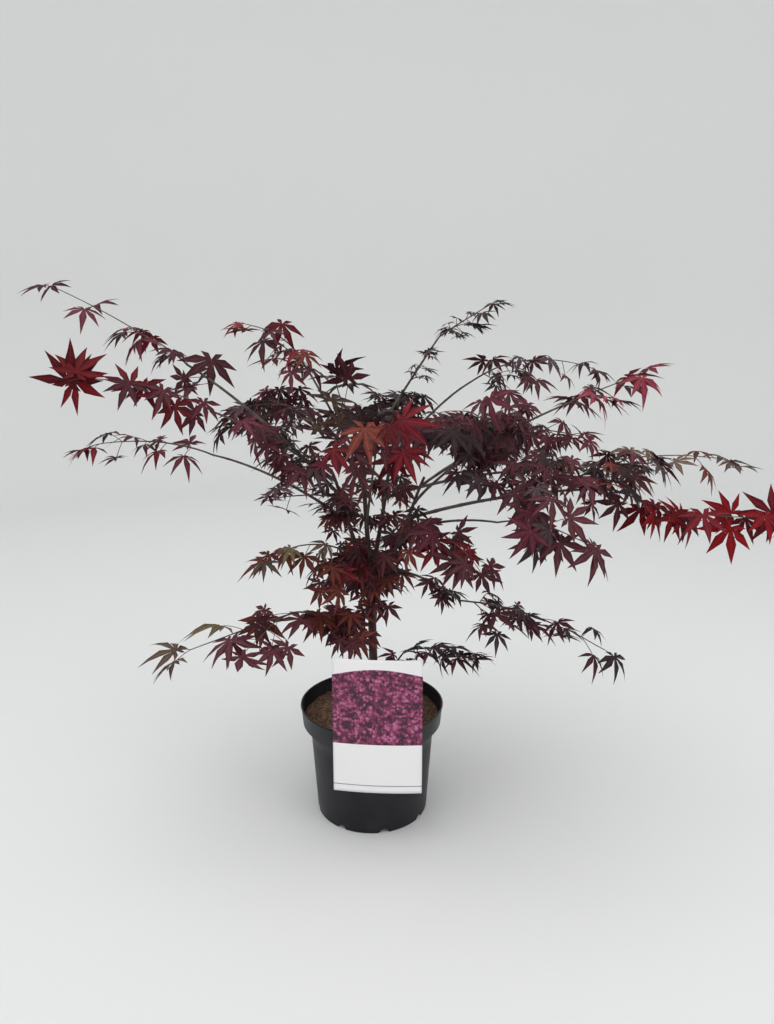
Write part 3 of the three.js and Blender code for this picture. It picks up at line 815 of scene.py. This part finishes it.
def makeLeaves():
    shoots, rows = growCrown()
    leaves = leafArrays(rows)
    rng = np.random.default_rng(7)
    places, (faces3, faces4), (uv3, uv4) = makeBlades(leaves, rng)
    shades = bladeLook["shades"]
    for tint, colours in leafTints.items():
        chosen = np.flatnonzero(leaves["tint"] == tint)
        nodes = [n for n in sprayNames if lookOf(n)["mix"].split()[0] == tint]
        if not len(chosen):
            continue
        offset = (np.arange(len(chosen)) * 65)[:, None, None]
        corners = []
        for marks in (uv3, uv4):
            u = (leaves["shade"][chosen][:, None, None] + 0.5 + 0.46 * marks[..., 0]) / shades
            v = np.broadcast_to(0.02 + 0.96 * marks[..., 1], u.shape)
            corners.append(np.stack([u, v], -1).reshape(-1, 2))
        shape = [places[chosen].reshape(-1, 3), (faces3 + offset).reshape(-1, 3),
                 (faces4 + offset).reshape(-1, 4)]
        slot = "leaf_" + nearestTint.get(tint, tint)
        addPiece("leaves_" + tint, shape, leafMaterial(tint, *colours), slot, nodes,
                 corners=np.concatenate(corners))
    print("leaves:", len(places), "on", len(shoots), "shoots")
    return shoots, leaves


def makeTwigs(shoots, leaves):
    # shoots taper evenly from foot to tip
    paths = np.array([s[0] for s in shoots])
    foot, tip = (np.array([s[i] for s in shoots])[:, None] for i in (1, 2))
    radii = foot + (tip - foot) * np.linspace(0, 1, paths.shape[1])
    addPiece("twigs", sweep(paths, radii, 6), shootSkin, "shoot")
    # leaf stalks leave the shoot in line with it and bend to the blade
    start, end = leaves["node"][:, None], leaves["base"][:, None]
    pull = start + (leaves["direction"] * (0.6 * leaves["stalk"])[:, None])[:, None]
    paths = bezier(start, pull, end, np.linspace(0, 1, twigLook["stalkSteps"])[None, :, None])
    shape = sweep(paths, np.full(paths.shape[:2], twigLook["stalk"] * mm), 5)
    stalkSkin = mottledMaterial("maple_leaf_stalk", {"Scale": 40.0, "Detail": 1.0},
                                [*enumerate(twigLook["stalkColours"])], Roughness=0.45)[0]
    addPiece("leaf_stalks", shape, stalkSkin, "shoot")
    print("twigs:", len(shoots), "shoots and", len(start), "leaf stalks")


makeTwigs(*makeLeaves())

potLook = {
    "wall": 1.6 * mm, "floor": 2.5 * mm, "lip": 3 * mm, "sides": 320,
    "edge": 1.2 * mm, "shoulder": 112 * mm, "collar": 125 * mm,  # heights where the profile turns
    "drains": 8, "drainRadius": 6 * mm, "drainTurn": 13, "drainDepth": 12 * mm,
    "colour": "0c0b12", "dust": "26242c", "roughness": (0.3, 0.7, 0.34, 0.52),
}


def potRadius(height):
    # the pot's own outside radius where its CAD corners stand, read from the frame
    corners = nodeCorners("pot")
    near = np.abs(corners[:, 2] - height) < 0.6 * mm
    return np.hypot(corners[near, 0], corners[near, 1]).max()


def plasticMaterial():
    # Injection-moulded recycled polypropylene: near black, satin, with a fine grain and a film of dust.
    material, add, surface, cloud = mottledMaterial(
        "moulded_polypropylene", {"Scale": 22.0, "Detail": 5.0, "Roughness": 0.62},
        [(0.42, potLook["colour"]), (0.78, potLook["dust"])],
        ({"Scale": 900.0, "Detail": 2.0}, 0.18, 0.2 * mm), **{"IOR": 1.49, "Specular IOR Level": 0.34})
    plug(surface, {"Roughness": add("MapRange", [cloud, *potLook["roughness"]])})
    return material


def makePot():
    # a profile of radius and height turned about Z; round arches lift its foot at the drain slots
    look, top = potLook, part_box("pot")[1].z
    wall, drain, base = look["wall"], look["drainDepth"], look["floor"]
    edge, shoulder, collar, lip = look["edge"], look["shoulder"], look["collar"], top - look["lip"]
    foot, shoulderRadius, collarRadius, rim = (potRadius(z) for z in (edge, shoulder, collar, top))
    collarTop = rim - 1 * mm
    lipHalf = (rim - collarTop + wall) / 2
    lipRound = [(rim - lipHalf + lipHalf * math.cos(t), top - lipHalf * (1 - math.sin(t)))
                for t in np.linspace(0, np.pi, 9)]
    side = [(foot + (shoulderRadius - foot) * t, edge + (shoulder - edge) * t)
            for t in np.linspace(0, 1, 14)[1:] ** 1.6]
    under = [(20 * mm, 0), (50 * mm, 0), (foot - drain, 0), (foot - 6 * mm, 0),
             (foot - edge, 0), (foot - 0.3 * edge, 0.35 * edge), (foot, edge)]
    outside = under + side + [(collarRadius, collar), (collarTop, lip - 0.4 * mm),
                              (collarTop + 0.5 * mm, lip)]
    inside = [(r - wall, z) for r, z in [(collarRadius, collar)] + side[::-1] if z > 8 * mm]
    inside += [(r, base) for r in (foot - 3 * mm, foot - drain - 2 * mm, 40 * mm, 10 * mm)]
    radii, heights = np.array(outside + lipRound + inside).T[..., None]
    angle = ringAngles(look["sides"])
    spacing = 2 * np.pi / look["drains"]
    off = (angle - math.radians(look["drainTurn"]) + spacing / 2) % spacing - spacing / 2
    arch = np.sqrt(np.maximum(look["drainRadius"] ** 2 - (foot * off) ** 2, 0))
    outer = np.arange(len(radii))[:, None] < len(outside + lipRound)
    ceiling = np.where(outer, arch, np.where(arch > 0, arch + wall, 0))
    reaches = (radii > foot - drain + mm) & (heights < 20 * mm)
    heights = np.where(reaches, np.maximum(heights, ceiling), heights)
    shape = turnedGrid(radii, heights, look["sides"])
    addPiece("pot_shell", shape, plasticMaterial(), "pot", ["pot"])
    print("pot:", len(shape[0]), "vertices")


makePot()

compostLook = {
    "rings": 46, "sides": 150, "lump": 1.5 * mm, "crumb": 0.8 * mm, "dome": 3 * mm,
    "bits": 1500, "bitSize": (0.9, 3.4), "bitLean": 0.35, "bitRough": (0.75, 1.25),  # mm, radians
    "bitShape": ((0.7, 0.35, 0.2), (1.6, 0.7, 0.5)),  # length, width and height, least and most
    "plug": ("3a2a22", "a58567", "6e5240"), "bitTints": ("34241b", "b3926c", "745640"),
    "lowered": 3.6 * mm, "gap": 0.6 * mm,  # the rim under the frame's top, and the air to the pot's wall
}


def compostMaterial(name, colours):
    # Moist peat and composted bark: fibrous crumbs, quite matte, dark brown with paler bits.
    return mottledMaterial(name, {"Scale": 260.0, "Detail": 6.0, "Roughness": 0.7},
                           list(zip((0.36, 0.72, 0.55), colours)), ({}, 0.8, 1.2 * mm), Roughness=0.95)[0]


def compostTop(x, y, edge):
    # height over the plug's rim: a low dome, lumps and crumbs
    look, places = compostLook, np.stack([x, y, 0 * x], -1)
    dome = look["dome"] * (1 - (np.hypot(x, y) / edge) ** 2)
    return dome + look["lump"] * ripple(places, 21 * mm, 3) + look["crumb"] * ripple(places, 6 * mm, 4)


def makeCompost():
    # a plug that fills the pot: its underside and side, then rings of a rough top
    look, sides, wall = compostLook, compostLook["sides"], potLook["wall"]
    foot, shoulder, collar = (potLook[name] for name in ("edge", "shoulder", "collar"))
    edge = potRadius(collar) - wall - look["gap"]
    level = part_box("soil")[1].z - look["lowered"]
    angle = ringAngles(sides)
    rings = edge * np.linspace(1, 0.02, look["rings"])[:, None]
    tops = level + compostTop(rings * np.cos(angle), rings * np.sin(angle), edge)
    under = np.array([(30 * mm, 10 * mm), (potRadius(foot) - 6 * mm, 10 * mm),
                      (potRadius(shoulder) - wall - 1.4 * mm, shoulder), (edge - 0.4 * mm, collar)])
    radii = np.concatenate([under[:, :1], rings])
    heights = np.concatenate([np.repeat(under[:, 1:], sides, 1), tops])
    skin = compostMaterial("moist_peat_compost", look["plug"])
    addPiece("compost", turnedGrid(radii, heights, sides), skin, "compost", ["soil"])
    # bits of bark and fibre lying on it: stretched octahedra, turned, tipped and sunk by half
    rng, count = np.random.default_rng(11), look["bits"]
    reach = edge * np.sqrt(rng.uniform(0, 0.98, count))
    turn = rng.uniform(0, 2 * np.pi, count)
    x, y = reach * np.cos(turn), reach * np.sin(turn)
    z = level + compostTop(x, y, edge) + 0.3 * mm
    shape = np.array([[1, 0, 0], [0, 1, 0], [-1, 0, 0], [0, -1, 0], [0, 0, 1], [0, 0, -1]], float)
    size = rng.uniform(*look["bitSize"], (count, 1, 1)) * mm
    stretch = size * rng.uniform(*look["bitShape"], (count, 3))[:, None]
    spin, lean = rng.uniform(0, 2 * np.pi, count), rng.normal(0, look["bitLean"], count)
    a, b, c, s = np.cos(spin), np.sin(spin), np.cos(lean), np.sin(lean)
    turns = np.stack([np.stack([a, -b * c, b * s], -1), np.stack([b, a * c, -a * s], -1),
                      np.stack([0 * a, s, c], -1)], -2)
    rough = shape * stretch * rng.uniform(*look["bitRough"], (count, 6, 1))
    corners = np.einsum("nij,nkj->nki", turns, rough)
    corners += np.stack([x, y, z], -1)[:, None]
    upper = np.array([[0, 1, 4], [1, 2, 4], [2, 3, 4], [3, 0, 4]])
    faces = np.concatenate([upper, upper[:, [1, 0, 2]] + [0, 0, 1]])
    faces = (faces + np.arange(count)[:, None, None] * 6).reshape(-1, 3)
    skin = compostMaterial("bark_and_fibre_bits", look["bitTints"])
    addPiece("compost_bits", (corners.reshape(-1, 3), faces), skin, "compost", smooth=False)
    print("compost: plug and", count, "bits")


makeCompost()

cardLook = {
    "thick": 0.7 * mm, "across": 30, "upwards": 46,
    "panel": (0.37, 0.88), "arch": 0.05,  # shares of the height, and how far the panel's top rises mid-way
    "front": 0.49, "back": 0.51,  # where the front's map ends and the back's begins
    "hookWidth": 20 * mm, "hookThick": 1.0 * mm, "hookLeg": 12 * mm, "hookReach": 9 * mm,
    "hookBend": 1.5 * mm, "hookOver": 1.0 * mm,  # its bend's radius, and its middle over the rim
    "ruleAt": 0.055, "ruleHalf": 0.0035, "petals": 30.0, "cloud": 8.0, "cloudShare": 0.5, "parting": -0.7,
    "grey": "dedade", "white": "f0eeef", "rule": "8f8a90",
    "magenta": "862b58", "plum": "350f28", "pink": "b9668f",
}


def sheetSolid(points, thick):
    # a grid of points (rows, columns, 3) given a thickness, closed round its rim;
    # the front's UV fills the left half of the map, the back's the right half
    rows, columns = points.shape[:2]
    down, along = np.gradient(points, axis=0), np.gradient(points, axis=1)
    normal = normalised(np.cross(along, down))
    front, back = points + normal * thick / 2, points - normal * thick / 2
    vertices = np.concatenate([front.reshape(-1, 3), back.reshape(-1, 3)])
    index = np.arange(rows * columns).reshape(rows, columns)
    a, b, c, d = index[:-1, :-1], index[:-1, 1:], index[1:, 1:], index[1:, :-1]
    faces = np.stack([a, b, c, d], -1).reshape(-1, 4)
    rim = np.concatenate([index[0, :-1], index[:-1, -1], index[-1, :0:-1], index[:0:-1, 0]])
    after = np.roll(rim, -1)
    size = rows * columns
    edges = np.stack([after, rim, rim + size, after + size], -1)
    u = np.broadcast_to(np.linspace(0, 1, columns), (rows, columns)).ravel()
    v = np.broadcast_to(np.linspace(0, 1, rows)[:, None], (rows, columns)).ravel()
    place = np.stack([cardLook["front"] * u, v], -1)
    mirrored = place + [cardLook["back"], 0]
    # the rim takes a thin strip of the map between the two halves
    left, right = cardLook["front"] + 0.004, cardLook["back"] - 0.004
    share = np.linspace(0, 1, len(rim) + 1)
    strip = np.stack([
        np.stack([np.full(len(rim), x), share[1:] if end else share[:-1]], -1)
        for x, end in ((left, True), (left, False), (right, False), (right, True))], 1)
    corners = np.concatenate([place[faces].reshape(-1, 2), mirrored[faces[:, ::-1]].reshape(-1, 2),
                              strip.reshape(-1, 2)])
    return (vertices, np.concatenate([faces, faces[:, ::-1] + size, edges])), corners


def cardMaterial():
    # Printed polypropylene sheet, laminated: white, softly glossy, with a plain panel of
    # dappled magenta across it and a thin rule near the foot.
    look = cardLook
    material, add, surface = newMaterial("printed_plastic_card", Roughness=0.33)
    place = add("UVMap", uv_map="OFBake")
    u, v, _ = add("SeparateXYZ", [place]).outputs
    front = add("Math LESS_THAN", [u, look["front"] + 0.0005])
    # the panel's top is a shallow arch of half a sine wave
    wave = add("Math SINE", [add("Math MULTIPLY", [u, math.pi / look["front"]])])
    under = add("Math LESS_THAN", [v, add("Math MULTIPLY_ADD", [wave, look["arch"], look["panel"][1]])])
    over = add("Math GREATER_THAN", [v, look["panel"][0]])
    inPanel = add("Math MULTIPLY", [add("Math MULTIPLY", [under, over]), front])
    # petals and leaflets in bulk: small cells, each of its own tone, darker where they part
    spots = add("Mapping", {"Vector": place, "Scale": (2.05, 1.6, 1)})
    cells = add("TexVoronoi", {"Vector": spots, "Scale": look["petals"]})
    cloud = add("TexNoise", {"Vector": spots, "Scale": look["cloud"], "Detail": 5.0})
    own = add("SeparateXYZ", [cells.outputs["Color"]]).outputs["X"]
    tone = add("Math MULTIPLY_ADD", [cells, look["parting"], own])
    tone = add("Math MULTIPLY_ADD", [tone, look["cloudShare"], cloud])
    dapple = add("ValToRGB", [tone], [(0.4, look["plum"]), (0.9, look["pink"]), (0.64, look["magenta"])])
    away = add("Math ABSOLUTE", [add("Math SUBTRACT", [v, look["ruleAt"]])])
    rule = add("Math MULTIPLY", [add("Math LESS_THAN", [away, look["ruleHalf"]]), front])
    paper, ink = linearFromHex(look["white"]), linearFromHex(look["rule"])
    ruled = add("Mix", {"Factor": rule, "A": paper, "B": ink}, data_type="RGBA")
    printed = add("Mix", {"Factor": inPanel, "A": ruled, "B": dapple}, data_type="RGBA")
    plug(surface, {"Base Color": printed})
    return material


def cardFrame():
    # the sheet's four corners in the frame's own mesh, averaged over its two faces
    corners = nodeCorners("label")
    found = []
    for level in (corners[:, 2].min(), corners[:, 2].max()):
        edge = corners[np.abs(corners[:, 2] - level) < 1 * mm]
        for x in (edge[:, 0].min(), edge[:, 0].max()):
            found.append(edge[np.abs(edge[:, 0] - x) < 0.3 * mm].mean(0))
    return corners, np.array(found)


def makeCard():
    # a flat patch between the corners, bowed forward by a parabola across it
    look = cardLook
    corners, (lowLeft, lowRight, topLeft, topRight) = cardFrame()
    u = np.linspace(0, 1, look["across"])[None, :, None]
    v = np.linspace(0, 1, look["upwards"])[:, None, None]
    flat = (lowLeft * (1 - u) + lowRight * u) * (1 - v) + (topLeft * (1 - u) + topRight * u) * v
    outward = normalised(np.cross(lowRight - lowLeft, topLeft - lowLeft))
    bow = ((corners - lowLeft) @ outward).max() - 0.4 * mm
    points = flat + outward * bow * 4 * u * (1 - u)
    shape, uv = sheetSolid(points, look["thick"])
    addPiece("card", shape, cardMaterial(), "card", ["label"], corners=uv)
    # the hook: a tongue from the card's back over the rim and, round a bend, down inside it
    right, rise = normalised(lowRight - lowLeft), normalised(topLeft - lowLeft)
    middle = (lowLeft + lowRight) / 2 + outward * bow
    level = (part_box("pot")[1].z + look["hookOver"] - middle[2]) / rise[2]
    inside, bend = look["hookReach"], look["hookBend"]
    turn = np.linspace(0, np.pi / 2, 6)
    curve = np.stack([inside - bend + bend * np.sin(turn), level - bend + bend * np.cos(turn)], -1)
    line = np.array([(0.6 * mm, level), (2.5 * mm, level), *curve, (inside, level - look["hookLeg"])])
    spine = middle - outward * line[:, :1] + rise * line[:, 1:]
    across = np.linspace(-0.5, 0.5, 5)[None, :, None] * look["hookWidth"] * right
    shape, _ = sheetSolid(spine[:, None] + across, look["hookThick"])
    # Injection-moulded white polypropylene: plain, a little duller than the card.
    skin = mottledMaterial("white_plastic_hook", {"Scale": 60.0}, [(0, look["grey"]), (1, look["white"])],
                           Roughness=0.4)[0]
    addPiece("card_hook", shape, skin, "card", smooth=False)
    print("card: printed sheet and hook")


makeCard()
